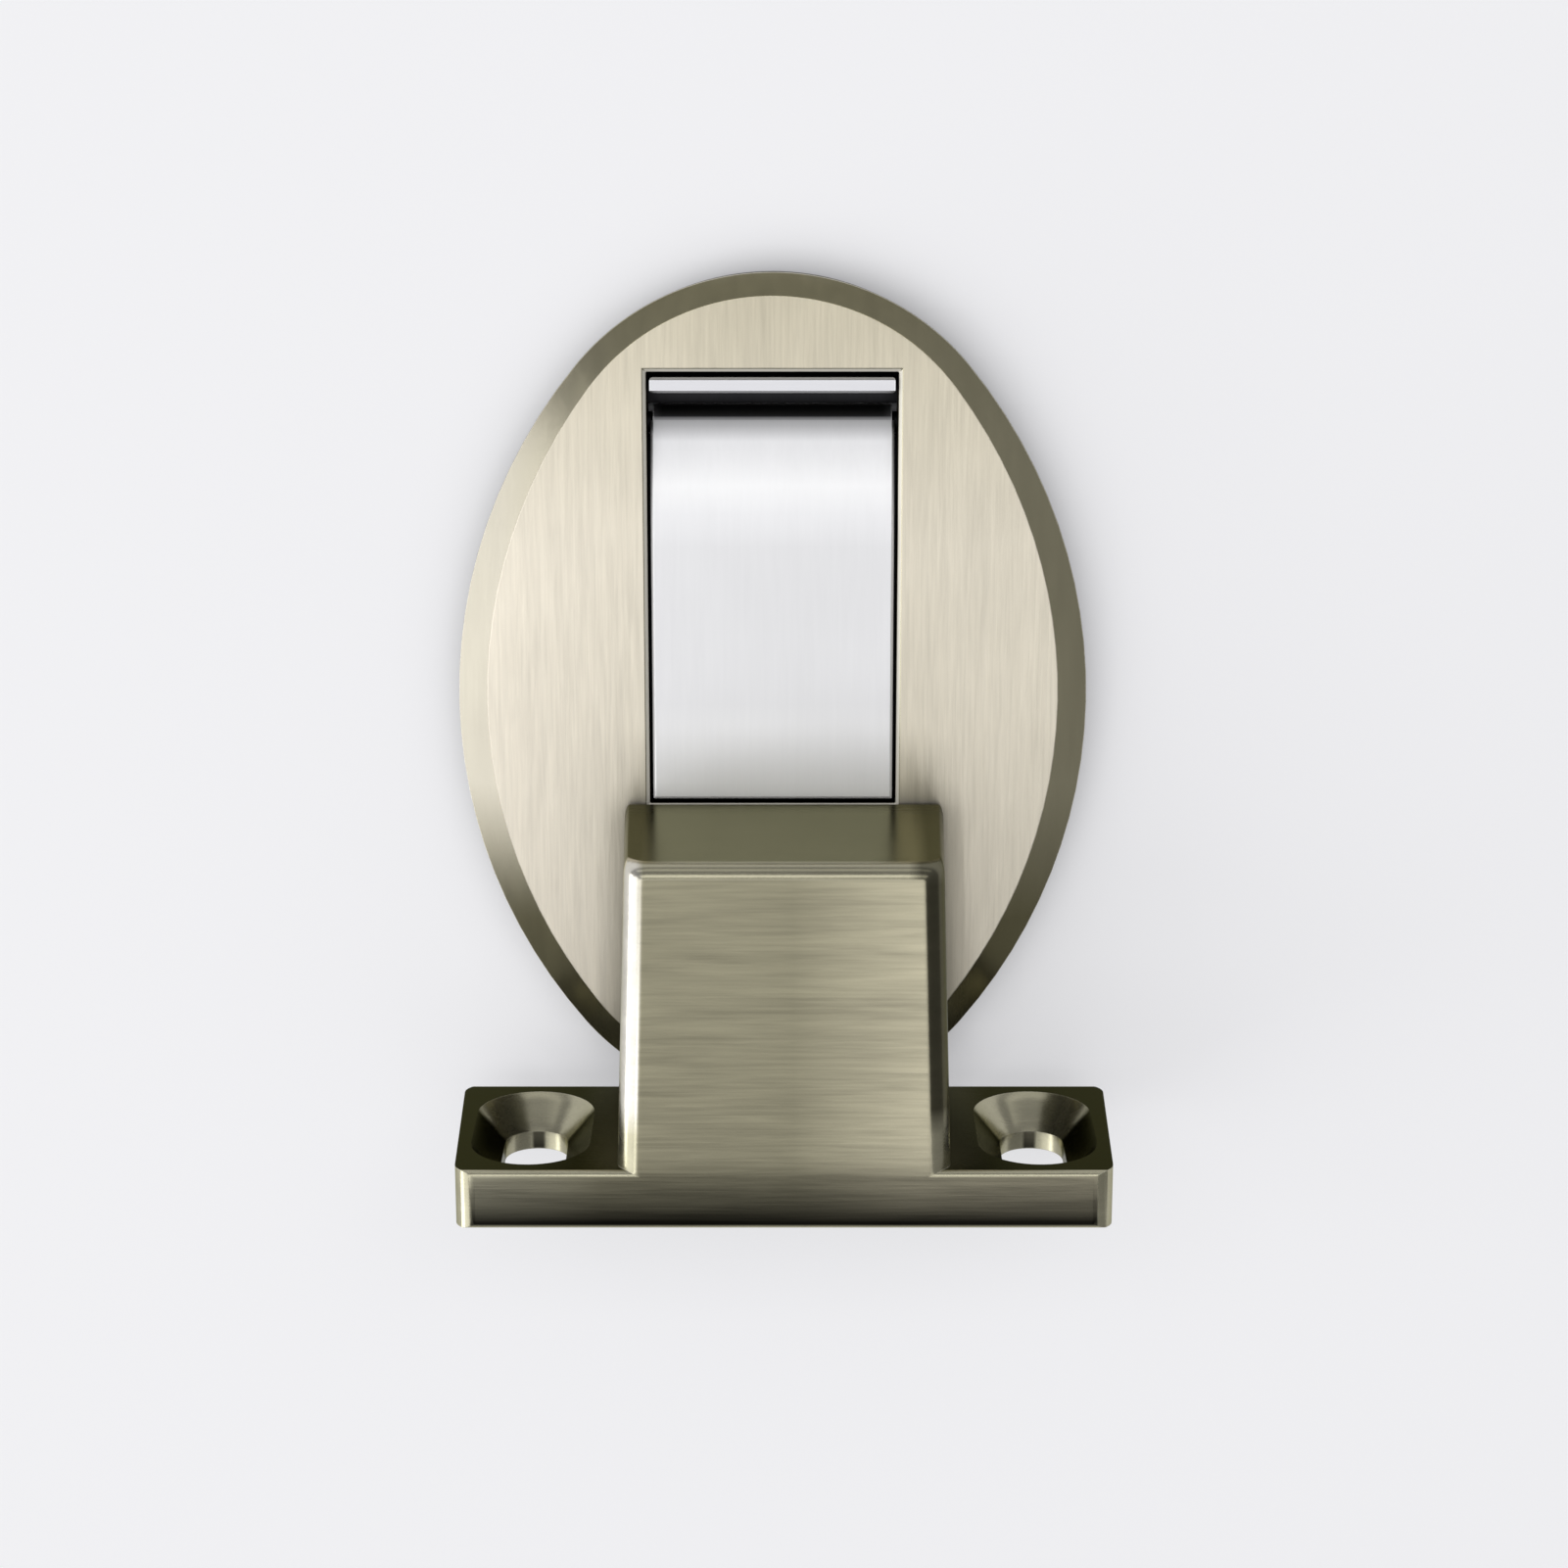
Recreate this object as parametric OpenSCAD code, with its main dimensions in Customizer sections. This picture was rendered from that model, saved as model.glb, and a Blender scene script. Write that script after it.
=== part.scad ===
// Floor door holder: an oval floor plate with a tongue that lifts on a hinge pin,
// and a magnetic block that is screwed to the door and catches the tongue's free end.
// Millimetres. +Z is up from the floor, +Y points away from the door, the origin lies
// on the floor under the centre of the oval plate.

/* [Floor plate] */
// Width of the oval plate
plate_w = 61; // [58:0.5:64]
// Length of the oval plate
plate_l = 83.5; // [80:0.5:90]
// Height of the plate's top above the floor
plate_top = 6; // [5.8:0.1:7]
// Radius of the arcs at the two ends of the oval
end_r = 24.2; // [22:0.1:25.6]
// Width of the bevel at the oval's sides, seen from above
bevel_side = 2.9; // [1.5:0.1:3.4]
// Width of the bevel at the end away from the door, seen from above
bevel_far = 2.1; // [1:0.1:3]
// Width of the bevel at the end near the door, seen from above
bevel_near = 2.8; // [1:0.1:3.2]
// Height of the bevel
bevel_h = 1.3; // [0.6:0.1:2]
// Lean of the side wall inwards from under the bevel to the floor
wall_lean = 0.5; // [0:0.1:0.8]
// Width of the rim that stands round the base plate
rim_w = 2.2; // [1.6:0.1:3]
// Thickness of the top wall over the underside pockets
top_wall = 1.9; // [1.4:0.1:2.2]
// Thickness of the walls round the window
window_wall = 3.2; // [2.8:0.1:4]
// Thickness of the underside ribs
rib_t = 1.4; // [1:0.1:2]
// Distance from the rim to the underside pockets
pocket_inset = 1.6; // [1.2:0.1:2]
// Thickness left over the holes for the base plate's screws
screw_roof = 1.5; // [1.2:0.1:1.8]

/* [Window] */
// Width of the window that the tongue lies in
window_w = 23.9; // [23.8:0.1:26]
// Distance from the plate's far end to the window
window_margin = 9.35; // [9:0.05:10.4]
// Bevel along the window's top edge
window_edge = 0.4; // [0.1:0.05:0.6]
// Gap between the window's near end and the tongue's free end
free_end_gap = 0.4; // [0.3:0.05:1]

/* [Base plate] */
// Thickness of the steel base plate
base_t = 1; // [0.8:0.1:1.2]
// Thickness of the adhesive foam pad
pad_t = 0.6; // [0.4:0.1:0.8]
// Distance from the oval's edge to the pad's edge
pad_inset = 1; // [0.5:0.1:1.6]
// Distance between the two holes for floor screws
floor_screw_spacing = 14; // [12:0.5:16]
// Distance from the plate's centre to the middle of the two holes for floor screws
floor_screw_y = 12; // [11:0.5:13]
// Diameter of the holes for floor screws
floor_screw_d = 4.4; // [4:0.1:5]
// Diameter of the countersink round each floor screw hole
floor_screw_head_d = 6.4; // [6:0.1:6.8]
// Distance from under the pin to each edge of the relief that the knuckle turns in
relief_reach = 1.65; // [1.6:0.05:1.7]

/* [Tongue] */
// Width of the tongue
tongue_w = 23.3; // [22:0.1:23.4]
// Thickness of the tongue
tongue_t = 2; // [1.6:0.1:2.2]
// Depth of the tongue's face below the plate's top
tongue_sunk = 0.15; // [0:0.05:0.4]
// Position of the tongue's free end
tongue_near = -9.6; // [-10.5:0.1:-7.5]
// Length over which the tongue rolls down to its hinge pin
roll_l = 11.6; // [9:0.1:14]
// Distance from the window's far end to the knuckle
knuckle_back = 3.6; // [3.3:0.1:4]
// Radius of the hinge knuckle
knuckle_r = 1.7; // [1.6:0.05:1.8]
// Bevel along the tongue's edges
tongue_edge = 0.25; // [0.1:0.05:0.4]
// Width of each stop heel
heel_w = 4; // [2:0.5:6]
// Distance from the middle to each stop heel
heel_x = 7; // [5:0.5:8]
// Reach of each stop heel below the pin's centre
heel_drop = 1.85; // [1.75:0.05:1.9]
// Reach of each stop heel from under the pin towards the tongue
heel_near = 0.6; // [0.3:0.05:0.65]
// Reach of each stop heel from under the pin towards the end bar
heel_far = 0.3; // [0.1:0.05:0.4]

/* [Hinge pin and end bar] */
// Radius of the hinge pin
pin_r = 1; // [0.8:0.05:1.05]
// Length of the hinge pin
pin_l = 29.6; // [28.4:0.1:29.8]
// Width of the end bar across the window's far end
bar_t = 1.5; // [1.2:0.1:1.6]
// Gap between the end bar and the window's far end
bar_gap = 0.5; // [0.3:0.05:0.7]
// Rounding of the end bar's corners
bar_round = 0.3; // [0.1:0.05:0.5]
// Radius of the two spigots under the end bar
spigot_r = 0.6; // [0.4:0.05:0.7]
// Distance between the two spigots
spigot_spacing = 18; // [14:0.5:20]

/* [Rest pads] */
// Diameter of the rubber rest pads under the tongue
rest_d = 5; // [4:0.5:7]
// Distance between the two rest pads
rest_spacing = 14; // [12:0.5:16]
// Distance from the tongue's free end to the rest pads
rest_back = 3.6; // [3:0.1:5]
// Bevel round the top of each rest pad
rest_edge = 0.6; // [0.2:0.1:0.8]

/* [Door block] */
// Sideways place of the door unit, from the middle of the floor unit
door_offset = 1.1; // [-2:0.1:2]
// Height of the block's underside above the plate's top
block_lift = 0.8; // [0.5:0.05:0.9]
// Position of the block's nose
nose_y = -9.85; // [-10.1:0.05:-9.8]
// Distance from the nose to the face that meets the door
block_reach = 34.9; // [33:0.1:38]
// Height of the block at its nose
nose_h = 20; // [19:0.5:22]
// Width of the block at its nose
nose_w = 31; // [30:0.1:32.5]
// Width of the block at its flange
root_w = 32.8; // [32:0.1:34]
// Draft of the cast side faces, in degrees
draft = 2; // [0.5:0.1:2.5]
// Rounding along the block's upper side edges
side_round = 2.2; // [1:0.1:2.4]
// Rounding across the top of the nose
nose_round = 1.5; // [0.5:0.1:1.8]
// Rounding of the nose's upright corners
corner_round = 0.5; // [0.3:0.1:1.2]
// Thickness of the block's nose and of the wall towards the flange
block_wall = 2; // [1.8:0.1:2.2]
// Thickness of the block's side walls
side_wall = 2.6; // [2.4:0.1:2.8]
// Thickness of the block's top wall at the nose
top_skin = 2.8; // [2.6:0.1:3.2]
// Width of the block's edge round the cover
cover_rim = 1.3; // [1.1:0.1:1.5]
// Thickness of the rib behind the magnet
back_rib_t = 1.4; // [1:0.1:2]

/* [Flange] */
// Width of the flange at its foot
flange_w = 63.4; // [62.8:0.1:68]
// Height of the flange
flange_h = 23; // [22.6:0.1:25]
// Thickness of the flange
flange_t = 5.8; // [4.8:0.1:6.4]
// Rounding of the flange's corners
flange_round = 2; // [0.5:0.1:2.5]
// Rounding along the flange's upper edges
flange_edge = 0.6; // [0.2:0.1:1]
// Distance between the two screw slots
slot_spacing = 48.4; // [47.8:0.1:49]
// Width of each screw slot
slot_w = 6.2; // [5.2:0.1:6.6]
// Length of each screw slot
slot_l = 14; // [10:0.5:14.5]
// Width of the countersunk rim round each slot
slot_rim = 2.6; // [2:0.1:2.7]
// Depth of the countersink
slot_sink = 3.2; // [2.4:0.1:3.6]
// Depth of the shallow relief round each slot in the face that meets the door
slot_relief = 0.8; // [0.3:0.1:1]

/* [Magnet pack] */
// Width of the magnet and its poles
magnet_w = 20.6; // [18:0.1:21]
// Depth of the magnet from front to back
magnet_l = 10; // [8:0.5:11]
// Height of the magnet
magnet_h = 8; // [6:0.5:8.5]
// Thickness of the two pole plates
pole_t = 1.5; // [1:0.1:1.7]
// Thickness of the magnet carrier's walls
carrier_wall = 1.6; // [1.2:0.1:1.8]
// Bevel on the magnet's upright edges
magnet_edge = 0.6; // [0.3:0.1:1]
// Bevel on the pole plates' upright edges
pole_edge = 0.3; // [0.2:0.1:0.5]
// Thickness of the cover under the block
cover_t = 1.5; // [1.3:0.1:1.8]
// Rounding of the cover's corners
cover_round = 0.4; // [0.2:0.1:0.8]

/* [Screws] */
// Radius of the small screws' shanks
shank_r = 1.22; // [1:0.02:1.3]
// Radius of the small screws' heads
head_r = 2.1; // [1.9:0.05:2.2]
// Height of the small screws' heads
head_h = 0.9; // [0.7:0.05:0.95]
// Length of the screws that hold the base plate
base_screw_l = 3.6; // [3:0.1:3.8]
// Distance across the plate between the base plate's screws
base_screw_dx = 36; // [35.4:0.1:37]
// Distance along the plate between the base plate's screws
base_screw_dy = 40; // [34:1:42]
// Length of the screws that hold the block's cover
cover_screw_l = 8; // [6:0.5:10]
// Distance between the screws that hold the block's cover
cover_screw_dx = 17; // [14:0.5:18]
// Distance from the inside of the flange wall to those screws
cover_screw_back = 4.5; // [4:0.1:6]
// Width of the drive slots in each screw head
drive_w = 0.5; // [0.3:0.05:0.6]
// Length of the drive slots in each screw head
drive_l = 2.5; // [2:0.1:2.8]
// Depth of the drive slots in each screw head
drive_h = 0.55; // [0.3:0.05:0.6]
// Radius of the bosses that take the base plate's screws
boss_r = 2.6; // [2.2:0.1:3]
// Radius of the bosses that take the cover's screws
cover_boss_r = 3; // [2.6:0.1:3.2]

/* [Fits] */
// Running clearance round the hinge pin
run_gap = 0.05; // [0.02:0.01:0.1]
// Clearance round pieces that are seated
seat_gap = 0.05; // [0.02:0.01:0.1]
// Clearance round plates that drop into a rebate
plate_gap = 0.15; // [0.1:0.05:0.3]
// Clearance between the tongue and what it rests over
rest_gap = 0.3; // [0.2:0.05:0.5]

/* [Hidden] */
$fn = 64;
over = 1;
far = 200;
side_steps = 24;
end_steps = 68;
corner_steps = 8;
nose_steps = 6;

// Heights in the floor plate, from the floor up
base_z = pad_t;
seat_z = base_z + base_t;
pocket_z = plate_top - top_wall;
boss_z = plate_top - screw_roof;
face_z = plate_top - tongue_sunk;
under_z = face_z - tongue_t;

// Window, hinge and the roll of the tongue
window_far = plate_l / 2 - window_margin;
window_near = tongue_near - free_end_gap;
window_mid = (window_near + window_far) / 2;
window_l = window_far - window_near;
pin_y = window_far - knuckle_back - knuckle_r;
roll_start = pin_y - roll_l;
pin_z = seat_z + pin_r;
rise = face_z - pin_z;
roll_r = (roll_l * roll_l + rise * rise - knuckle_r * knuckle_r) / (2 * (rise - knuckle_r));
roll_angle = asin(roll_l / (roll_r - knuckle_r));
groove_l = pin_l + 2 * run_gap;
relief_near = pin_y - relief_reach;
relief_far = pin_y + relief_reach;
bar_far = window_far - bar_gap;
bar_near = bar_far - bar_t;
bar_mid = (bar_near + bar_far) / 2;
bar_l = tongue_w;

// Heights and lengths in the door block
block_z = plate_top + block_lift;
back_y = nose_y - block_reach;
flange_y = back_y + flange_t;
nose_z = block_z + nose_h;
top_z = block_z + flange_h;
nose_l = nose_y - flange_y;
slope = (top_z - nose_z) / nose_l;
slot_z = block_z + flange_h / 2;
hollow_w = nose_w - 2 * side_wall;
hollow_near = nose_y - block_wall;
hollow_far = flange_y + block_wall;
ceiling_z = nose_z - top_skin;
rebate_w = nose_w - 2 * cover_rim;
rebate_near = nose_y - cover_rim;
rebate_far = flange_y + cover_rim;
cover_z = block_z + cover_t;
cover_screw_y = hollow_far + cover_screw_back;

// Magnet pack inside the block
pack_near = hollow_near - 2 * rest_gap;
pack_far = pack_near - magnet_l;
lower_z = cover_z;
magnet_z = lower_z + pole_t;
upper_z = magnet_z + magnet_h;
pack_z = upper_z + pole_t;
carrier_near = hollow_near - rest_gap;
carrier_far = pack_far - plate_gap - carrier_wall;
carrier_top = ceiling_z - rest_gap;
carrier_w = hollow_w - 2 * rest_gap;

// ---------- outlines ----------

function unit(v) = v / norm(v);

// Points of one corner of a path, rounded to radius r
function rounded_corner(before, corner, after, r) =
    let (
        u = unit(before - corner),
        v = unit(after - corner),
        half = acos(u * v) / 2,
        centre = corner + unit(u + v) * r / sin(half),
        a = unit(corner + u * r / tan(half) - centre),
        b = unit(corner + v * r / tan(half) - centre)
    )
    r <= 0 ? [corner] : [
        for (i = [0:corner_steps]) centre + r * unit(a * (corner_steps - i) + b * i)
    ];

// A closed path with a radius for each corner
function rounded_path(points, radii) =
    let (n = len(points))
    [
        for (i = [0:n - 1])
            each rounded_corner(points[(i + n - 1) % n], points[i], points[(i + 1) % n], radii[i])
    ];

// Points of an arc, without its last one
function arc(centre, r, from, to, steps) = [
    for (i = [0:steps - 1])
        let (angle = from + (to - from) * i / steps)
        centre + r * [cos(angle), sin(angle)]
];

// An oval of four arcs that meet smoothly, from its half width, half length and end radius
function oval_path(half_w, half_l, r) =
    let (
        end_y = half_l - r,
        side_r = (half_w * half_w + end_y * end_y - r * r) / (2 * (half_w - r)),
        side_x = side_r - half_w,
        turn = atan2(end_y, side_x)
    )
    [
        each arc([-side_x, 0], side_r, -turn, turn, side_steps),
        each arc([0, end_y], r, turn, 180 - turn, end_steps),
        each arc([side_x, 0], side_r, 180 - turn, 180 + turn, side_steps),
        each arc([0, -end_y], r, 180 + turn, 360 - turn, end_steps)
    ];

// The plate's outline, drawn inwards by inset
function plate_path(inset) = oval_path(plate_w / 2 - inset, plate_l / 2 - inset, end_r - inset);

// The outline of the flat face inside the bevel, whose width differs round the plate
function face_path() =
    let (bevel_end = (bevel_far + bevel_near) / 2)
    [
        for (p = oval_path(plate_w / 2 - bevel_side, plate_l / 2 - bevel_end, end_r - bevel_end))
        [p[0], p[1] + bevel_end - bevel_far]
    ];

// A path lifted to some height
function lifted(path, height) = [for (p = path) [p[0], p[1], height]];

// A slab of the plate's outline between two heights
module oval_slab(low, high, inset) {
    raised(low, high) polygon(plate_path(inset));
}

// A solid through several outlines that have the same number of points
module lofted(outlines) {
    n = len(outlines[0]);
    last = len(outlines) - 1;
    polyhedron([for (outline = outlines) each outline], [
        [for (i = [0:n - 1]) i],
        [for (i = [0:n - 1]) last * n + n - 1 - i],
        for (k = [0:last - 1], i = [0:n - 1])
            let (a = k * n + i, b = k * n + (i + 1) % n)
            each [[a, a + n, b + n], [a, b + n, b]]
    ]);
}

// A box given by its lowest and highest corners
module block_between(low, high) {
    translate(low) cube(high - low);
}

// A plan outline raised from one height to another
module raised(low, high) {
    translate([0, 0, low]) linear_extrude(high - low) children();
}

// A profile drawn as [Y, Z] and drawn out along X, about the middle
module across(width) {
    rotate([90, 0, 90]) translate([0, 0, -width / 2]) linear_extrude(width) children();
}

// A profile drawn as [X, Z] and drawn out along Y, from near to far
module along(near, depth) {
    translate([0, near, 0]) rotate([90, 0, 0]) linear_extrude(depth) children();
}

module at_base_screws() {
    for (x = [-1, 1], y = [-1, 1]) {
        translate([x * base_screw_dx / 2, y * base_screw_dy / 2, 0]) children();
    }
}

module at_floor_screws() {
    for (y = [-1, 1]) {
        translate([0, floor_screw_y + y * floor_screw_spacing / 2, 0]) children();
    }
}

module at_cover_screws() {
    for (x = [-1, 1]) {
        translate([x * cover_screw_dx / 2, cover_screw_y, 0]) children();
    }
}

module at_spigots() {
    for (x = [-1, 1]) {
        translate([x * spigot_spacing / 2, bar_mid, 0]) children();
    }
}

// A countersunk screw that points up, with its head's face at z = 0
module small_screw(length) {
    tip = shank_r / 2;
    difference() {
        union() {
            cylinder(h = head_h, r1 = head_r, r2 = shank_r);
            cylinder(h = length - tip, r = shank_r);
            translate([0, 0, length - tip])
                cylinder(h = tip, r1 = shank_r, r2 = tip);
        }
        for (turn = [0, 90]) {
            rotate([0, 0, turn])
                block_between([-drive_l / 2, -drive_w / 2, -over], [drive_l / 2, drive_w / 2, drive_h]);
        }
    }
}

// The hole that such a screw sits in
module small_screw_hole(length) {
    translate([0, 0, -over]) cylinder(h = over, r = head_r + seat_gap);
    cylinder(h = head_h, r1 = head_r + seat_gap, r2 = shank_r + seat_gap);
    cylinder(h = length, r = shank_r + seat_gap);
}

// ---------- floor unit ----------

// Plan of the pockets that lighten the casting from below
module pocket_plan() {
    difference() {
        polygon(plate_path(rim_w + pocket_inset));
        translate([0, window_mid])
            square([window_w + 2 * window_wall, window_l + 2 * window_wall], center = true);
        at_base_screws() circle(r = boss_r);
        for (i = [-2:2]) {
            translate([0, i * base_screw_dy / 4])
                square([far, rib_t], center = true);
        }
        square([rib_t, far], center = true);
    }
}

// One direction of the bevelled window: an opening of the given length about zero
module window_profile(length) {
    polygon([
        [-length / 2, plate_top - window_edge], [length / 2, plate_top - window_edge],
        [length / 2 + window_edge, plate_top], [length / 2 + window_edge, plate_top + over],
        [-length / 2 - window_edge, plate_top + over], [-length / 2 - window_edge, plate_top]
    ]);
}

module window_cut() {
    block_between([-window_w / 2, window_near, -over], [window_w / 2, window_far, plate_top + over]);
    intersection() {
        along(window_far + over, window_l + 2 * over) window_profile(window_w);
        translate([0, window_mid, 0]) across(window_w + 2 * over) window_profile(window_l);
    }
}

// The grooves in the window's walls that the pin is laid in from below
module pin_groove() {
    groove_r = pin_r + seat_gap / 2;
    across(groove_l) translate([pin_y, pin_z]) circle(r = groove_r);
    block_between(
        [-groove_l / 2, pin_y - groove_r, base_z],
        [groove_l / 2, pin_y + groove_r, pin_z]
    );
}

module floor_plate() {
    color("#cfc6ac") difference() {
        lofted([
            lifted(plate_path(wall_lean), base_z),
            lifted(plate_path(0), plate_top - bevel_h),
            lifted(face_path(), plate_top)
        ]);
        window_cut();
        oval_slab(base_z - over, seat_z, rim_w);
        raised(seat_z - over / 2, pocket_z) pocket_plan();
        at_base_screws() translate([0, 0, base_z])
            cylinder(h = boss_z - base_z, r = shank_r + seat_gap);
        pin_groove();
    }
}

module base_plate() {
    color("#8d9094") difference() {
        oval_slab(base_z, seat_z, rim_w + plate_gap);
        at_floor_screws() {
            translate([0, 0, base_z - over])
                cylinder(h = base_t + 2 * over, d = floor_screw_d);
            translate([0, 0, seat_z - base_t / 2])
                cylinder(h = base_t / 2, d1 = floor_screw_d, d2 = floor_screw_head_d);
        }
        at_base_screws() translate([0, 0, base_z]) small_screw_hole(base_t + over);
        at_spigots() translate([0, 0, base_z - over])
            cylinder(h = base_t + 2 * over, r = spigot_r + seat_gap / 2);
        block_between(
            [-window_w / 2, relief_near, base_z - over],
            [window_w / 2, relief_far, seat_z + over]
        );
    }
}

module base_screws() {
    color("#b9b9bc") at_base_screws() translate([0, 0, base_z]) small_screw(base_screw_l);
}

module adhesive_pad() {
    color("#2f2f31") difference() {
        oval_slab(0, pad_t, pad_inset);
        at_floor_screws() translate([0, 0, -over])
            cylinder(h = pad_t + 2 * over, d = floor_screw_head_d);
        block_between([-window_w / 2, relief_near, -over], [window_w / 2, relief_far, pad_t + over]);
    }
}

module end_bar() {
    side = bar_l / 2;
    edge_z = face_z - tongue_edge;
    color("#dcdce0") {
        intersection() {
            raised(seat_z, face_z) polygon(rounded_path(
                [[-side, bar_near], [side, bar_near], [side, bar_far], [-side, bar_far]],
                [bar_round, bar_round, bar_round, bar_round]
            ));
            across(bar_l + over) polygon([
                [bar_near, seat_z], [bar_far, seat_z], [bar_far, edge_z],
                [bar_far - tongue_edge, face_z], [bar_near + tongue_edge, face_z], [bar_near, edge_z]
            ]);
        }
        at_spigots() translate([0, 0, base_z]) cylinder(h = base_t + bar_t, r = spigot_r);
    }
}

module hinge_pin() {
    tip = pin_r / 3;
    color("#c4c4c8") translate([-pin_l / 2, pin_y, pin_z]) rotate([0, 90, 0])
        rotate_extrude() polygon([
            [0, 0], [pin_r - tip, 0], [pin_r, tip],
            [pin_r, pin_l - tip], [pin_r - tip, pin_l], [0, pin_l]
        ]);
}

// Cross-section of the tongue's strip: [across, up], with its face's edges bevelled
module strip_section(face) {
    polygon([
        [-tongue_w / 2, face - tongue_t], [tongue_w / 2, face - tongue_t],
        [tongue_w / 2, face - tongue_edge], [tongue_w / 2 - tongue_edge, face],
        [-tongue_w / 2 + tongue_edge, face], [-tongue_w / 2, face - tongue_edge]
    ]);
}

// Profile of one stop heel, with the pin's centre at the origin
module heel_profile() {
    polygon([[-heel_near, 0], [-heel_near, -heel_drop], [heel_far, -heel_drop], [heel_far, 0]]);
}

module at_pin() {
    translate([0, pin_y, pin_z]) rotate([0, 90, 0]) children();
}

module tongue() {
    color("#e2e2e6") difference() {
        union() {
            along(roll_start, roll_start - tongue_near) strip_section(face_z);
            translate([0, roll_start, face_z - roll_r]) rotate([0, -90, 0])
                rotate_extrude(angle = roll_angle, $fn = 360)
                    rotate([0, 0, -90]) strip_section(roll_r);
            at_pin() cylinder(h = tongue_w - 2 * tongue_edge, r = knuckle_r, center = true);
            for (x = [-1, 1]) {
                translate([x * heel_x, 0, 0]) across(heel_w)
                    translate([pin_y, pin_z]) heel_profile();
            }
        }
        at_pin() cylinder(h = tongue_w + 2 * over, r = pin_r + run_gap, center = true);
        across(tongue_w + 2 * over) polygon([
            [tongue_near - over, face_z - tongue_edge - over],
            [tongue_near + tongue_edge + over, face_z + over],
            [tongue_near - over, face_z + over]
        ]);
    }
}

module rest_pads() {
    height = under_z - rest_gap - seat_z;
    color("#2a2a2c") {
        for (x = [-1, 1]) {
            translate([x * rest_spacing / 2, tongue_near + rest_back, seat_z])
                rotate_extrude() polygon([
                    [0, 0], [rest_d / 2, 0], [rest_d / 2, height - rest_edge],
                    [rest_d / 2 - rest_edge, height], [0, height]
                ]);
        }
    }
}

// ---------- door unit ----------

module on_door() {
    translate([door_offset, 0, 0]) children();
}

// Outline of a drafted casting: width is at the foot, and the sides lean inwards
module drafted(width, height, foot_r, top_r) {
    lean = height * tan(draft);
    polygon(rounded_path(
        [
            [-width / 2, block_z], [width / 2, block_z],
            [width / 2 - lean, block_z + height], [-width / 2 + lean, block_z + height]
        ],
        [foot_r, foot_r, top_r, top_r]
    ));
}

// Outline of the block at some distance behind the nose, lowered by drop and narrowed by inset
function block_outline(back, drop, inset) =
    let (
        top = min(top_z, nose_z + slope * back) - drop,
        half = (nose_w + (root_w - nose_w) * min(1, back / nose_l)) / 2 - inset,
        lean = (top - block_z) * tan(draft)
    )
    [
        for (p = rounded_path(
            [[-half, block_z], [half, block_z], [half - lean, top], [-half + lean, top]],
            [0, 0, side_round, side_round]
        ))
            [p[0], nose_y - back, p[1]]
    ];

module nose_body() {
    lofted([
        for (i = [0:nose_steps])
            let (c = 1 - cos(90 * i / nose_steps), d = 1 - sin(90 * i / nose_steps))
            block_outline(nose_round * c, nose_round * d, corner_round * d),
        block_outline(nose_l, 0, 0),
        block_outline(nose_l + over, 0, 0)
    ]);
}

module flange_body() {
    intersection() {
        along(flange_y, flange_t) drafted(flange_w, flange_h, flange_round, flange_round);
        across(flange_w + over) polygon(rounded_path(
            [[back_y, block_z], [flange_y, block_z], [flange_y, top_z], [back_y, top_z]],
            [0, flange_edge, flange_edge, flange_edge]
        ));
    }
}

// A screw slot that runs upright through the flange, countersunk from the block's side
module slot_cut() {
    straight = slot_l - slot_w;
    mouth = slot_w / 2 + slot_rim;
    translate([0, 0, slot_z]) {
        for (end = [-1, 1]) {
            translate([0, flange_y + over, end * straight / 2]) rotate([90, 0, 0])
                cylinder(h = flange_t + 2 * over, r = slot_w / 2);
            translate([0, flange_y, end * straight / 2]) rotate([90, 0, 0])
                cylinder(h = slot_sink, r1 = mouth, r2 = slot_w / 2);
        }
        block_between(
            [-slot_w / 2, back_y - over, -straight / 2],
            [slot_w / 2, flange_y + over, straight / 2]
        );
        block_between(
            [-mouth, back_y - over, -straight / 2 - mouth],
            [mouth, back_y + slot_relief, straight / 2 + mouth]
        );
        translate([0, 0, -straight / 2]) linear_extrude(straight) polygon([
            [-mouth, flange_y], [mouth, flange_y],
            [slot_w / 2, flange_y - slot_sink], [-slot_w / 2, flange_y - slot_sink]
        ]);
    }
}

// The hollow that is open below and closed by the cover
module block_hollow() {
    across(hollow_w) polygon([
        [hollow_near, block_z - over], [hollow_near, ceiling_z],
        [hollow_far, ceiling_z + slope * (hollow_near - hollow_far)], [hollow_far, block_z - over]
    ]);
    block_between([-rebate_w / 2, rebate_far, block_z - over], [rebate_w / 2, rebate_near, cover_z]);
}

// Bosses and a rib that stay standing in the hollow
module hollow_supports() {
    at_cover_screws() translate([0, 0, cover_z]) cylinder(h = flange_h, r = cover_boss_r);
    block_between(
        [-back_rib_t / 2, hollow_far - over, cover_z],
        [back_rib_t / 2, carrier_far - rest_gap, top_z]
    );
}

module door_block() {
    color("#a39b82") on_door() difference() {
        union() {
            nose_body();
            flange_body();
        }
        difference() {
            block_hollow();
            hollow_supports();
        }
        at_cover_screws() translate([0, 0, block_z])
            cylinder(h = cover_screw_l + over, r = shank_r + seat_gap);
        for (x = [-1, 1]) {
            translate([x * slot_spacing / 2, 0, 0]) slot_cut();
        }
    }
}

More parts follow.
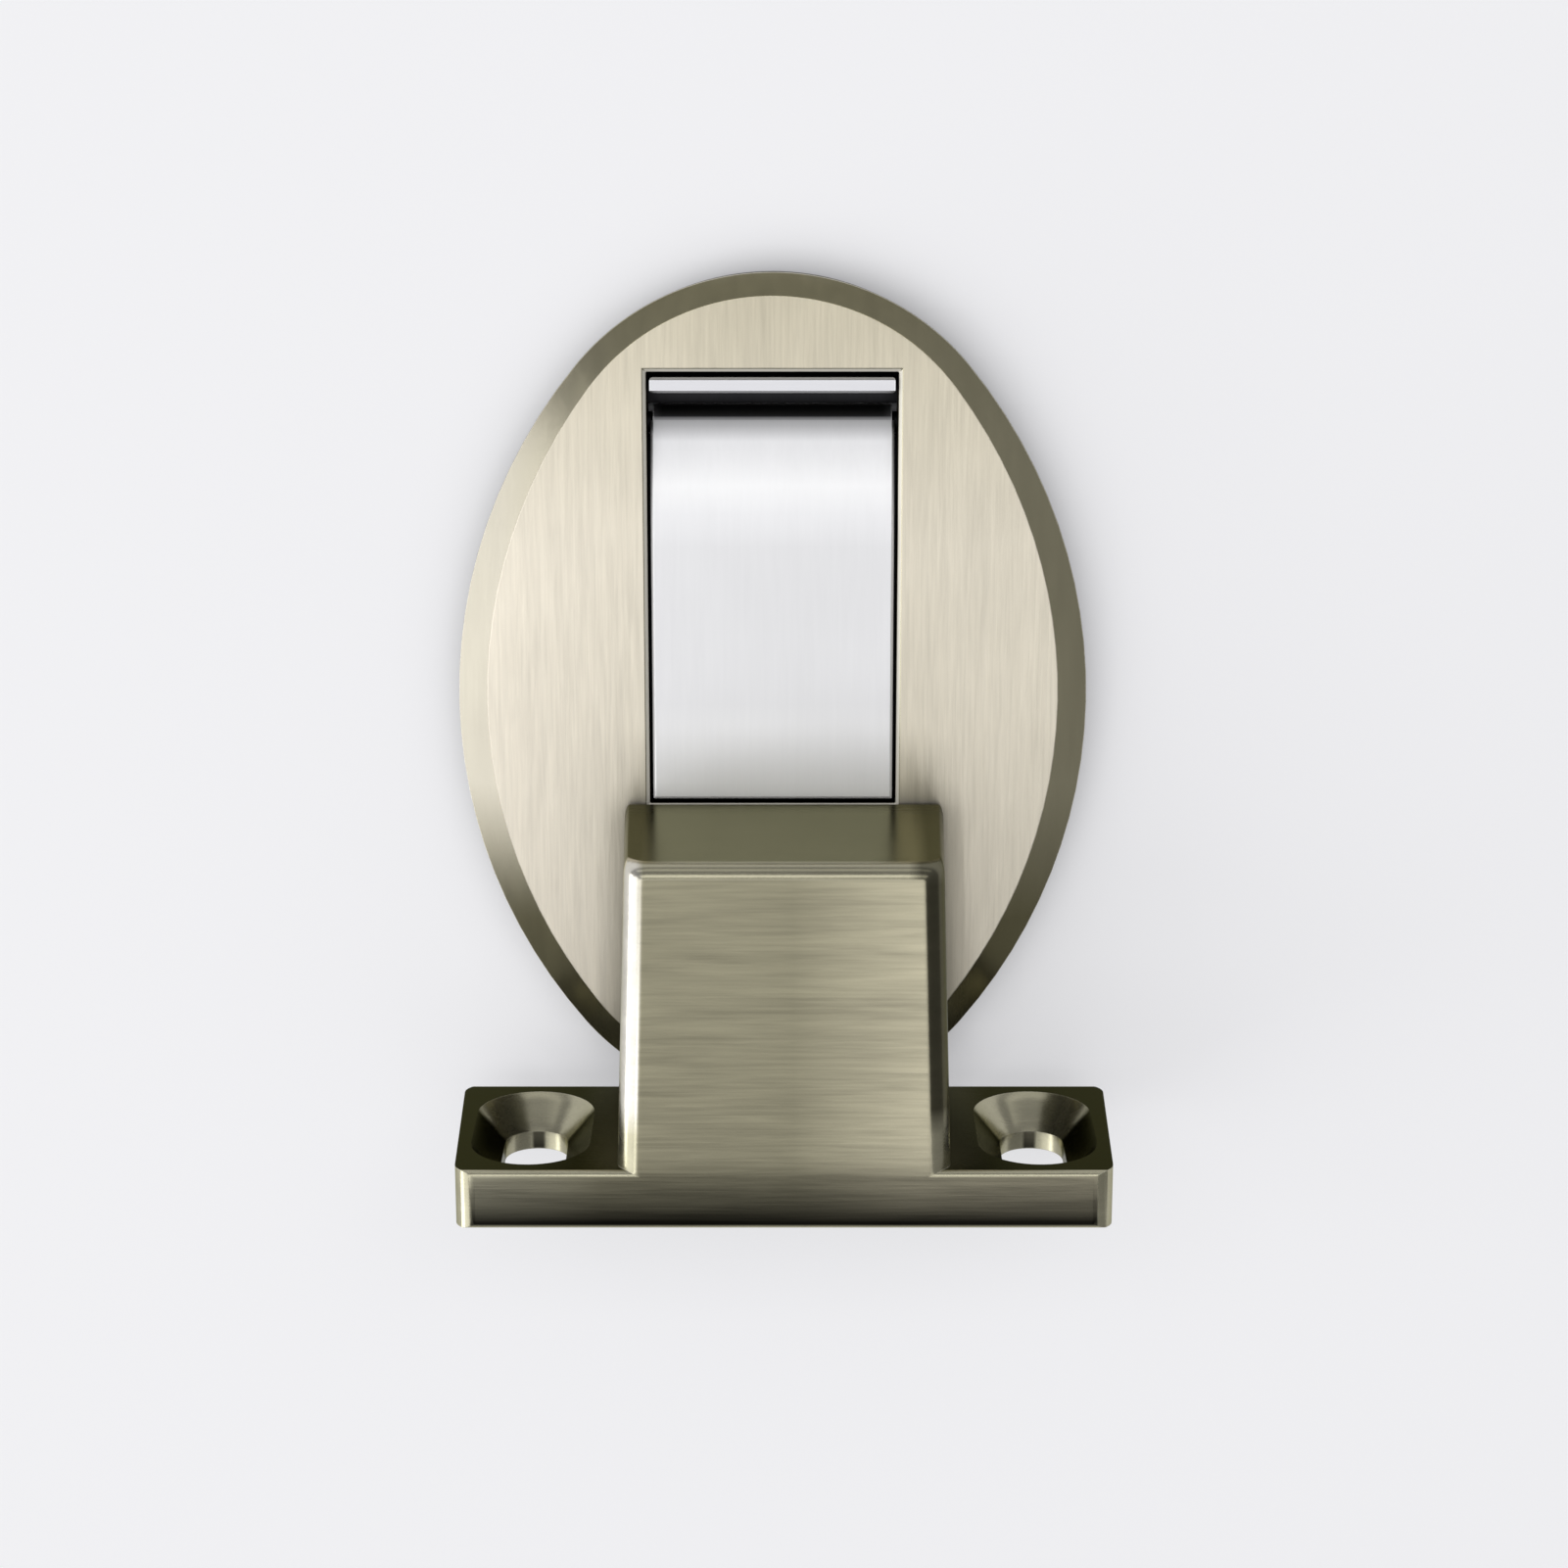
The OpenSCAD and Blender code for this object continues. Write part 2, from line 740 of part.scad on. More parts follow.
module block_cover() {
    side = rebate_w / 2 - plate_gap;
    near = rebate_near - plate_gap;
    back = rebate_far + plate_gap;
    color("#3b3a33") on_door() difference() {
        raised(block_z, cover_z) polygon(rounded_path(
            [[-side, back], [side, back], [side, near], [-side, near]],
            [cover_round, cover_round, cover_round, cover_round]
        ));
        at_cover_screws() translate([0, 0, block_z]) small_screw_hole(cover_t + over);
    }
}

module cover_screws() {
    color("#b9b9bc") on_door() at_cover_screws() translate([0, 0, block_z]) small_screw(cover_screw_l);
}

// A moulded cradle that holds the magnet pack behind the nose
module magnet_carrier() {
    pocket_w = magnet_w + 2 * plate_gap;
    pocket_far = pack_far - plate_gap;
    pocket_top = pack_z + plate_gap;
    cell_w = (carrier_w - 4 * carrier_wall) / 3;
    color("#2b2c2e") on_door() difference() {
        block_between(
            [-carrier_w / 2, carrier_far, cover_z],
            [carrier_w / 2, carrier_near, carrier_top]
        );
        block_between(
            [-pocket_w / 2, pocket_far, cover_z - over],
            [pocket_w / 2, carrier_near + over, pocket_top]
        );
        for (i = [-1, 0, 1]) {
            translate([i * (cell_w + carrier_wall), 0, 0]) block_between(
                [-cell_w / 2, carrier_far + carrier_wall, pocket_top + carrier_wall],
                [cell_w / 2, carrier_near - carrier_wall, carrier_top + over]
            );
        }
    }
}

// One plate or block of the magnet pack, with small bevels on its upright edges
module pack_piece(low, height, edge) {
    side = magnet_w / 2;
    raised(low, low + height) polygon([
        [-side + edge, pack_near], [-side, pack_near - edge],
        [-side, pack_far + edge], [-side + edge, pack_far],
        [side - edge, pack_far], [side, pack_far + edge],
        [side, pack_near - edge], [side - edge, pack_near]
    ]);
}

module magnet() {
    color("#a9acb0") on_door() pack_piece(magnet_z, magnet_h, magnet_edge);
}

module lower_pole() {
    color("#6f7276") on_door() pack_piece(lower_z, pole_t, pole_edge);
}

module upper_pole() {
    color("#6f7276") on_door() pack_piece(upper_z, pole_t, pole_edge);
}

floor_plate();
base_plate();
base_screws();
adhesive_pad();
end_bar();
hinge_pin();
tongue();
rest_pads();
door_block();
block_cover();
cover_screws();
magnet_carrier();
magnet();
lower_pole();
upper_pole();
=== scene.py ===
"""Looks for the floor door holder: finishes, finished castings, studio and camera.

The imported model's own nodes give every shape. The nodes that show are copied, merged, given eased edges
and shown in the place of the originals. The others only get their finish. Lengths are in metres, written
as millimetres times MM, and the object's own axes are the frame's: +Z up, -Y towards the door.
"""

import logging
import math
from dataclasses import dataclass
from enum import Enum

import bpy
from mathutils import Matrix, Vector


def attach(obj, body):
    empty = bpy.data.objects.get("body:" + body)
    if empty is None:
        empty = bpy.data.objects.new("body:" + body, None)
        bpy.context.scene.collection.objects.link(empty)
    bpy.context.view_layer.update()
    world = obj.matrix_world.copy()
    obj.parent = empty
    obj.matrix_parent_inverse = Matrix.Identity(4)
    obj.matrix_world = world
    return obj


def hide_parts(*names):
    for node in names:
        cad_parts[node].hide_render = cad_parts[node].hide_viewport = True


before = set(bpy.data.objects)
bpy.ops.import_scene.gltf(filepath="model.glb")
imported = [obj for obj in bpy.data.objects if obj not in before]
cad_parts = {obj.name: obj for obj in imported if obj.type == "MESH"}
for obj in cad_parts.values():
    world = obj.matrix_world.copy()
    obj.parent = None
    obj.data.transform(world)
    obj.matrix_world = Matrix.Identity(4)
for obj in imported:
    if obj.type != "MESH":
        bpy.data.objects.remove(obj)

LOG = logging.getLogger("floor_door_holder")
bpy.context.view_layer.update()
MM = 0.001

Colour = tuple[float, float, float, float]
Place = tuple[float, float, float]
Socket = bpy.types.NodeSocket
MIDDLE: Place = (0.0, 0.0, 0.0)
BELOW_TOP: Place = (-0.15, -0.095, 0.0)


class Body(Enum):
    """The moving bodies of the holder."""

    FLOOR = "floor_unit"
    TONGUE = "tongue"
    DOOR = "door_unit"


class Slot(Enum):
    """The record's material slots; each finished piece notes one, which nothing here reads."""

    PLATE = "plate_bronze"
    BLOCK = "block_bronze"
    POLISHED = "polished_steel"


class Axis(Enum):
    """An axis of the object's own space."""

    X = "X"
    Y = "Y"


class Grain(Enum):
    """How a brush or a rolling mill has drawn its lines, as a stretch of the noise along X, Y and Z."""

    ALONG_Y = (1.0, 0.04, 1.0)
    ALONG_X = (0.04, 1.0, 1.0)
    NONE = (1.0, 1.0, 1.0)


def hex_colour(code: str) -> Colour:
    """Turns a display colour into the linear colour that a shader takes.

    Args:
        code: The colour as "#rrggbb".

    Returns:
        Red, green, blue and an alpha of 1, all linear.
    """
    parts = [int(code[i : i + 2], 16) / 255 for i in (1, 3, 5)]
    linear = [p / 12.92 if p <= 0.04045 else ((p + 0.055) / 1.055) ** 2.4 for p in parts]
    return (linear[0], linear[1], linear[2], 1.0)


class Bench:
    """A node tree that is being wired, with short calls for what is added most.

    The two rows of numbers say where a Mix node has its first input, its second input and its result.
    """

    VECTOR_SOCKETS = (4, 5, 1)
    COLOUR_SOCKETS = (6, 7, 2)

    def __init__(self, tree: bpy.types.NodeTree) -> None:
        """Starts on an empty tree.

        Args:
            tree: The material's or group's node tree, which is cleared.
        """
        self.tree = tree
        self.tree.nodes.clear()

    def add(self, kind: str, **settings: object) -> bpy.types.Node:
        """Adds a node.

        Args:
            kind: The node's type without "ShaderNode", or a full type name.
            **settings: Attributes set on the new node.

        Returns:
            The new node.
        """
        name = kind if kind.startswith(("Shader", "Node")) else "ShaderNode" + kind
        node = self.tree.nodes.new(name)
        for key, value in settings.items():
            setattr(node, key, value)
        return node

    def link(self, source: Socket, target: Socket) -> None:
        """Joins an output to an input."""
        self.tree.links.new(source, target)

    def feed(self, target: Socket, value: object) -> None:
        """Links a socket to an input, or writes a plain value on it.

        Args:
            target: The input.
            value: A socket or a plain value.
        """
        if isinstance(value, Socket):
            self.link(value, target)
        else:
            target.default_value = value

    def maths(self, operation: str, a: object, b: object = 0.0, clamp: bool = False) -> Socket:
        """Adds one arithmetic step.

        Args:
            operation: The name of the operation, such as MULTIPLY.
            a: A socket or a number.
            b: A socket or a number.
            clamp: Whether the result is kept between 0 and 1.

        Returns:
            The result's socket.
        """
        node = self.add("Math", operation=operation, use_clamp=clamp)
        self.feed(node.inputs[0], a)
        self.feed(node.inputs[1], b)
        return node.outputs[0]

    def spread(self, value: object, low: float, high: float, to_low: object, to_high: object) -> Socket:
        """Maps a value from one range to another, clamped.

        Args:
            value: A socket or a number.
            low: Start of the range that is read.
            high: End of the range that is read.
            to_low: What low becomes, as a socket or a number.
            to_high: What high becomes, as a socket or a number.

        Returns:
            The result's socket.
        """
        node = self.add("MapRange")
        self.feed(node.inputs["Value"], value)
        ends = {"From Min": low, "From Max": high, "To Min": to_low, "To Max": to_high}
        for name, end in ends.items():
            self.feed(node.inputs[name], end)
        return node.outputs["Result"]

    def over_mask(self, mask: Socket, off: object, on: object) -> Socket:
        """Goes from one value to another as a mask goes from 0 to 1.

        Args:
            mask: The mask's socket.
            off: The value where the mask is 0, as a socket or a number.
            on: The value where the mask is 1, as a socket or a number.

        Returns:
            The result's socket.
        """
        return self.spread(mask, 0.0, 1.0, off, on)

    def about_middle(self, value: Socket, swing: float) -> Socket:
        """Turns a value from 0 to 1 into one that swings about 0.

        Args:
            value: The value's socket.
            swing: The whole width of the swing.

        Returns:
            The result's socket.
        """
        return self.maths("MULTIPLY", self.maths("SUBTRACT", value, 0.5), swing)

    def grey(self, value: Socket) -> Socket:
        """Makes a grey whose three channels are one value.

        Args:
            value: The value's socket.

        Returns:
            The colour's socket.
        """
        node = self.add("CombineColor")
        for channel in node.inputs[:3]:
            self.link(value, channel)
        return node.outputs[0]

    def blend(self, share: object, a: object, b: object, mode: str = "MIX") -> Socket:
        """Mixes two colours.

        Args:
            share: How much of b shows, as a socket or a number.
            a: The first colour.
            b: The second colour.
            mode: The blend type.

        Returns:
            The mixed colour's socket.
        """
        first, second, result = self.COLOUR_SOCKETS
        node = self.add("Mix", data_type="RGBA", blend_type=mode)
        self.feed(node.inputs["Factor"], share)
        self.feed(node.inputs[first], a)
        self.feed(node.inputs[second], b)
        return node.outputs[result]


class EffectGroups:
    """Shader groups that several finishes share, each built once.

    The ranges below say which part of a noise, of a bend in the surface or of the open sky over a point
    is read, from where a mask is 0 to where it is 1.
    """

    HAIR_RANGE = (0.30, 0.70)
    STREAK_RANGE = (0.32, 0.68)
    CLOUD_RANGE = (0.30, 0.70)
    HAIR_DETAIL = 4.0
    STREAK_DETAIL = 3.5
    CLOUD_DETAIL = 3.0
    CLOUD_SCALE = 70.0
    WAVER = 0.35
    STREAK_SHORTENING = 0.07
    BENT = (0.995, 0.86)
    RAISED = (0.1, 0.4)
    # CORNER and DEEP read the open sky over a point for the painted shade in corners and gaps.
    CORNER = (1.0, 0.55)
    DEEP = (0.5, 0.12)
    EDGE_SAMPLES = 6
    CAVITY_SAMPLES = 8

    def __init__(self) -> None:
        """Builds the groups."""
        self.lines = self._lines()
        self.facing = self._facing()
        self.wear_light_and_shade = self._wear_light_and_shade()

    @staticmethod
    def _group(
        name: str, inputs: dict[str, str], outputs: tuple[str, ...]
    ) -> tuple[Bench, bpy.types.Node, bpy.types.Node]:
        """Starts a group with its sockets.

        Args:
            name: The group's name.
            inputs: Socket names that go in, with their types.
            outputs: Names of the values that come out.

        Returns:
            The bench, the group's input node and its output node.
        """
        tree = bpy.data.node_groups.new(name, "ShaderNodeTree")
        for socket, kind in inputs.items():
            tree.interface.new_socket(name=socket, in_out="INPUT", socket_type=kind)
        for socket in outputs:
            tree.interface.new_socket(name=socket, in_out="OUTPUT", socket_type="NodeSocketFloat")
        bench = Bench(tree)
        return bench, bench.add("NodeGroupInput"), bench.add("NodeGroupOutput")

    def _lines(self) -> bpy.types.NodeTree:
        """Drawn lines: fine hairs, broad streaks and cloudy patches over a surface.

        Returns:
            The group, whose values run from 0 to 1.
        """
        bench, into, out = self._group(
            "drawn_lines",
            {"Stretch": "NodeSocketVector", "Fine": "NodeSocketFloat", "Broad": "NodeSocketFloat"},
            ("Hairs", "Streaks", "Clouds"),
        )
        place = bench.add("TexCoord").outputs["Object"]
        drawn = bench.add("VectorMath", operation="MULTIPLY")
        bench.link(place, drawn.inputs[0])
        bench.link(into.outputs["Stretch"], drawn.inputs[1])
        first, second, result = bench.VECTOR_SOCKETS
        shorter = bench.add("Mix", data_type="VECTOR")
        shorter.inputs["Factor"].default_value = self.STREAK_SHORTENING
        bench.link(drawn.outputs[0], shorter.inputs[first])
        bench.link(place, shorter.inputs[second])
        fine, broad = into.outputs["Fine"], into.outputs["Broad"]
        for name, vector, scale, detail, waver, span in (
            ("Hairs", drawn.outputs[0], fine, self.HAIR_DETAIL, self.WAVER, self.HAIR_RANGE),
            ("Streaks", shorter.outputs[result], broad, self.STREAK_DETAIL, self.WAVER, self.STREAK_RANGE),
            ("Clouds", place, self.CLOUD_SCALE, self.CLOUD_DETAIL, 0.0, self.CLOUD_RANGE),
        ):
            noise = bench.add("TexNoise")
            noise.inputs["Detail"].default_value = detail
            noise.inputs["Distortion"].default_value = waver
            bench.link(vector, noise.inputs["Vector"])
            bench.feed(noise.inputs["Scale"], scale)
            bench.link(bench.spread(noise.outputs["Fac"], *span, 0.0, 1.0), out.inputs[name])
        return bench.tree

    def _facing(self) -> bpy.types.NodeTree:
        """Which way a surface faces on the object itself.

        Returns:
            The group, with Up and Away as the Z and Y of the surface's own normal, from -1 to 1.
        """
        bench, _, out = self._group("facing", {}, ("Up", "Away"))
        split = bench.add("SeparateXYZ")
        bench.link(bench.add("TexCoord").outputs["Normal"], split.inputs[0])
        bench.link(split.outputs["Z"], out.inputs["Up"])
        bench.link(split.outputs["Y"], out.inputs["Away"])
        return bench.tree

    def _wear_light_and_shade(self) -> bpy.types.NodeTree:
        """Where handling rubs an edge, which also paints a highlight line there, and painted shade in
        corners and in gaps too deep for light.

        Returns:
            The group, with Edge, Corner and Deep running from 0 to 1.
        """
        bench, into, out = self._group(
            "worn_edges_and_painted_shade",
            {"Width": "NodeSocketFloat", "Depth": "NodeSocketFloat"},
            ("Edge", "Corner", "Deep"),
        )
        rounded = bench.add("Bevel", samples=self.EDGE_SAMPLES)
        bench.link(into.outputs["Width"], rounded.inputs["Radius"])
        dot = bench.add("VectorMath", operation="DOT_PRODUCT")
        bench.link(rounded.outputs["Normal"], dot.inputs[0])
        bench.link(bench.add("NewGeometry").outputs["Normal"], dot.inputs[1])
        cavity = bench.add("AmbientOcclusion", samples=self.CAVITY_SAMPLES)
        bench.link(into.outputs["Depth"], cavity.inputs["Distance"])
        # Painted shade: how closed in a point is marks deep gaps (Deep) and corners (Corner) for
        # darkening.
        deep = bench.spread(cavity.outputs["AO"], *self.DEEP, 0.0, 1.0)
        bent = bench.spread(dot.outputs["Value"], *self.BENT, 0.0, 1.0)
        within_reach = bench.maths("SUBTRACT", 1.0, deep, clamp=True)
        up = bench.add("Group", node_tree=self.facing).outputs["Up"]
        raised = bench.spread(up, *self.RAISED, 0.0, 1.0)
        # Edges that handling rubs, which also stand in for a highlight line.
        rubbed_and_highlight = bench.maths("MULTIPLY", bench.maths("MULTIPLY", bent, within_reach), raised)
        bench.link(rubbed_and_highlight, out.inputs["Edge"])
        bench.link(bench.spread(cavity.outputs["AO"], *self.CORNER, 0.0, 1.0), out.inputs["Corner"])
        bench.link(deep, out.inputs["Deep"])
        return bench.tree

    def draw_lines(self, bench: Bench, grain: Grain, fine: float, broad: float) -> bpy.types.Node:
        """Places the drawn lines in a material.

        Args:
            bench: The material's bench.
            grain: Which way the lines run.
            fine: The hairs' scale, to the metre.
            broad: The streaks' scale, to the metre.

        Returns:
            The group's node, with its values set.
        """
        lines = bench.add("Group", node_tree=self.lines)
        lines.inputs["Stretch"].default_value = grain.value
        lines.inputs["Fine"].default_value = fine
        lines.inputs["Broad"].default_value = broad
        return lines

    def place_wear_light_and_shade(self, bench: Bench, width: float, depth: float) -> bpy.types.Node:
        """Places the worn edges, painted highlight and painted shade in a material.

        Args:
            bench: The material's bench.
            width: How wide an edge is worn and given its painted highlight.
            depth: How deep a corner or gap is before it gets painted shade.

        Returns:
            The group's node, with its values set.
        """
        wear_light_and_shade = bench.add("Group", node_tree=self.wear_light_and_shade)
        wear_light_and_shade.inputs["Width"].default_value = width
        wear_light_and_shade.inputs["Depth"].default_value = depth
        return wear_light_and_shade


def start_shader(name: str) -> tuple[bpy.types.Material, Bench, bpy.types.Node]:
    """Makes a material that holds one shader.

    Args:
        name: The material's name.

    Returns:
        The material, its bench and its shader's node.
    """
    material = bpy.data.materials.new(name)
    material.use_nodes = True
    bench = Bench(material.node_tree)
    shader = bench.add("BsdfPrincipled")
    bench.link(shader.outputs[0], bench.add("OutputMaterial").inputs[0])
    return material, bench, shader


def emboss(bench: Bench, shader: bpy.types.Node, height: Socket, strength: float, depth: float) -> None:
    """Lets a height turn the light on a shader.

    Args:
        bench: The material's bench.
        shader: The shader's node.
        height: The height's socket.
        strength: How strongly it shows.
        depth: How far the height rises.
    """
    bump = bench.add("Bump")
    bump.inputs["Strength"].default_value = strength
    bump.inputs["Distance"].default_value = depth
    bench.link(height, bump.inputs["Height"])
    bench.link(bump.outputs[0], shader.inputs["Normal"])


@dataclass(frozen=True)
class Toning:
    """A change of colour along one of the object's own axes, from none at start to share at end."""

    axis: Axis
    start: float
    end: float
    share: float
    colour: str

    def over(self, bench: Bench, tone: object) -> Socket:
        """Lays the change over a colour.

        Args:
            bench: The material's bench.
            tone: The colour underneath, as a socket or a plain colour.

        Returns:
            The toned colour's socket.
        """
        split = bench.add("SeparateXYZ")
        bench.link(bench.add("TexCoord").outputs["Object"], split.inputs[0])
        along = bench.spread(split.outputs[self.axis.value], self.start, self.end, 0.0, self.share)
        return bench.blend(along, tone, hex_colour(self.colour))


@dataclass(frozen=True)
class BrushedFinish:
    """Plated metal brushed on the faces that point up, with painted shade on the faces that point less far
    up.

    A face is a side, a slant or a top by how far it points up, from 0 to 1, and each has its own colour
    and toning, which paint light and shade. Where its share is set, faces at lip_slope get a painted
    highlight too.
    """

    name: str
    # Top, slant and side are one plating: the slant and side colours are painted light and shade on it.
    top: str
    slant: str
    side: str
    # The edge colour: worn edges, and a painted highlight on edges and lips.
    rubbed_and_highlight: str
    grain: Grain
    top_from: float = 0.93
    top_to: float = 0.99
    slant_from: float = 0.35
    slant_to: float = 0.8
    # Painted shade laid into gaps too deep for light.
    gap_shade: str = "#0c0b09"
    roughness: float = 0.34
    roughness_swing: float = 0.12
    hair_scale: float = 4200.0
    streak_scale: float = 1100.0
    hair_strength: float = 0.16
    streak_strength: float = 0.14
    lines_on_sides: float = 0.3
    relief_on_sides: float = 0.25
    bump: float = 0.22
    bump_height: float = 0.03 * MM
    darkest_cloud: float = 0.95
    lightest_cloud: float = 1.03
    slant_roughness: float = 0.24
    corner_roughness: float = 0.12
    edge_roughness: float = 0.15
    top_metal: float = 0.8
    slant_metal: float = 0.95
    rubbed_and_highlight_metal: float = 0.4
    # Painted shade: how much of the side colour is laid into corners.
    corner_shade_share: float = 0.4
    gap_shade_share: float = 0.95
    rubbed_and_highlight_share: float = 0.8
    rubbed_and_highlight_width: float = 0.25 * MM
    # Painted highlight on sloping lips at lip_slope.
    lip_highlight_share: float = 0.0
    lip_slope: float = 45.0
    lip_full: float = 0.06
    lip_none: float = 0.14
    grazing: str = "#8c8878"
    gap_depth: float = 0.8 * MM
    # The tonings paint light and shade along the object's axes.
    top_toning: tuple[Toning, ...] = ()
    slant_toning: tuple[Toning, ...] = ()
    side_toning: tuple[Toning, ...] = ()

    def _plating(self, bench: Bench, up: Socket, on_top: Socket) -> Socket:
        """Picks the plating's colour by how far a face points up, with painted light and shade from the
        colours and tonings.

        Args:
            bench: The material's bench.
            up: How far the face points up.
            on_top: Whether it is a brushed top face, from 0 to 1.

        Returns:
            The colour's socket.
        """
        toned = []
        for code, tonings in (
            (self.side, self.side_toning), (self.slant, self.slant_toning), (self.top, self.top_toning),
        ):
            tone: object = hex_colour(code)
            for toning in tonings:
                tone = toning.over(bench, tone)
            toned.append(tone)
        side, slant, top = toned
        slanting = bench.spread(up, self.slant_from, self.slant_to, 0.0, 1.0)
        return bench.blend(on_top, bench.blend(slanting, side, slant), top)

    def _rubbing_and_highlight(self, bench: Bench, up: Socket, wear_light_and_shade: bpy.types.Node) -> Socket:
        """Finds where edges are worn bright with a painted highlight, and where sloping lips get a painted
        highlight.

        Args:
            bench: The material's bench.
            up: How far the face points up.
            wear_light_and_shade: The node of the worn edges, painted highlight and painted shade.

        Returns:
            The mask's socket.
        """
        edge = wear_light_and_shade.outputs["Edge"]
        if not self.lip_highlight_share:
            return edge
        lip_up = math.cos(math.radians(self.lip_slope))
        off_lip = bench.maths("ABSOLUTE", bench.maths("SUBTRACT", up, lip_up))
        lip = bench.spread(off_lip, self.lip_full, self.lip_none, self.lip_highlight_share, 0.0)
        return bench.maths("MAXIMUM", edge, lip)

    def build(self, groups: EffectGroups) -> bpy.types.Material:
        """Makes the material.

        Args:
            groups: The shared effect groups.

        Returns:
            The finished material.
        """
        material, bench, shader = start_shader(self.name)
        shader.inputs["Specular Tint"].default_value = hex_colour(self.grazing)
        shader.inputs["Specular IOR Level"].default_value = 0.0
        lines = groups.draw_lines(bench, self.grain, self.hair_scale, self.streak_scale)
        wear_light_and_shade = groups.place_wear_light_and_shade(bench, self.rubbed_and_highlight_width, self.gap_depth)
        up = bench.add("Group", node_tree=groups.facing).outputs["Up"]
        on_top = bench.spread(up, self.top_from, self.top_to, 0.0, 1.0)
        drawn = bench.over_mask(on_top, self.lines_on_sides, 1.0)
        edge = self._rubbing_and_highlight(bench, up, wear_light_and_shade)

        hairs = bench.about_middle(lines.outputs["Hairs"], self.hair_strength)
        streaks = bench.about_middle(lines.outputs["Streaks"], self.streak_strength)
        shade = bench.maths("MULTIPLY", bench.maths("ADD", hairs, streaks), drawn)
        clouds = bench.over_mask(lines.outputs["Clouds"], self.darkest_cloud, self.lightest_cloud)
        shade = bench.maths("ADD", shade, clouds)
        plated = bench.blend(1.0, self._plating(bench, up, on_top), bench.grey(shade), "MULTIPLY")
        # Painted shade in corners and gaps, then worn edges that also paint a highlight.
        for mask, share, colour in (
            (wear_light_and_shade.outputs["Corner"], self.corner_shade_share, self.side),
            (wear_light_and_shade.outputs["Deep"], self.gap_shade_share, self.gap_shade),
            (edge, self.rubbed_and_highlight_share, self.rubbed_and_highlight),
        ):
            plated = bench.blend(bench.maths("MULTIPLY", mask, share), plated, hex_colour(colour))
        bench.link(plated, shader.inputs["Base Color"])

        plain_metal = bench.over_mask(on_top, self.slant_metal, self.top_metal)
        bench.link(bench.over_mask(edge, plain_metal, self.rubbed_and_highlight_metal), shader.inputs["Metallic"])

        half = self.roughness_swing / 2
        swing = bench.over_mask(lines.outputs["Streaks"], -half, half)
        rough = bench.over_mask(on_top, self.slant_roughness, self.roughness)
        rough = bench.maths("ADD", bench.maths("MULTIPLY", swing, drawn), rough)
        for mask, rise in ((wear_light_and_shade.outputs["Corner"], self.corner_roughness), (edge, self.edge_roughness)):
            rough = bench.maths("ADD", rough, bench.maths("MULTIPLY", mask, rise))
        bench.link(rough, shader.inputs["Roughness"])

        relief = bench.maths("SUBTRACT", lines.outputs["Hairs"], 0.5)
        relief = bench.maths("MULTIPLY", relief, bench.over_mask(on_top, self.relief_on_sides, 1.0))
        emboss(bench, shader, relief, self.bump, self.bump_height)
        return material


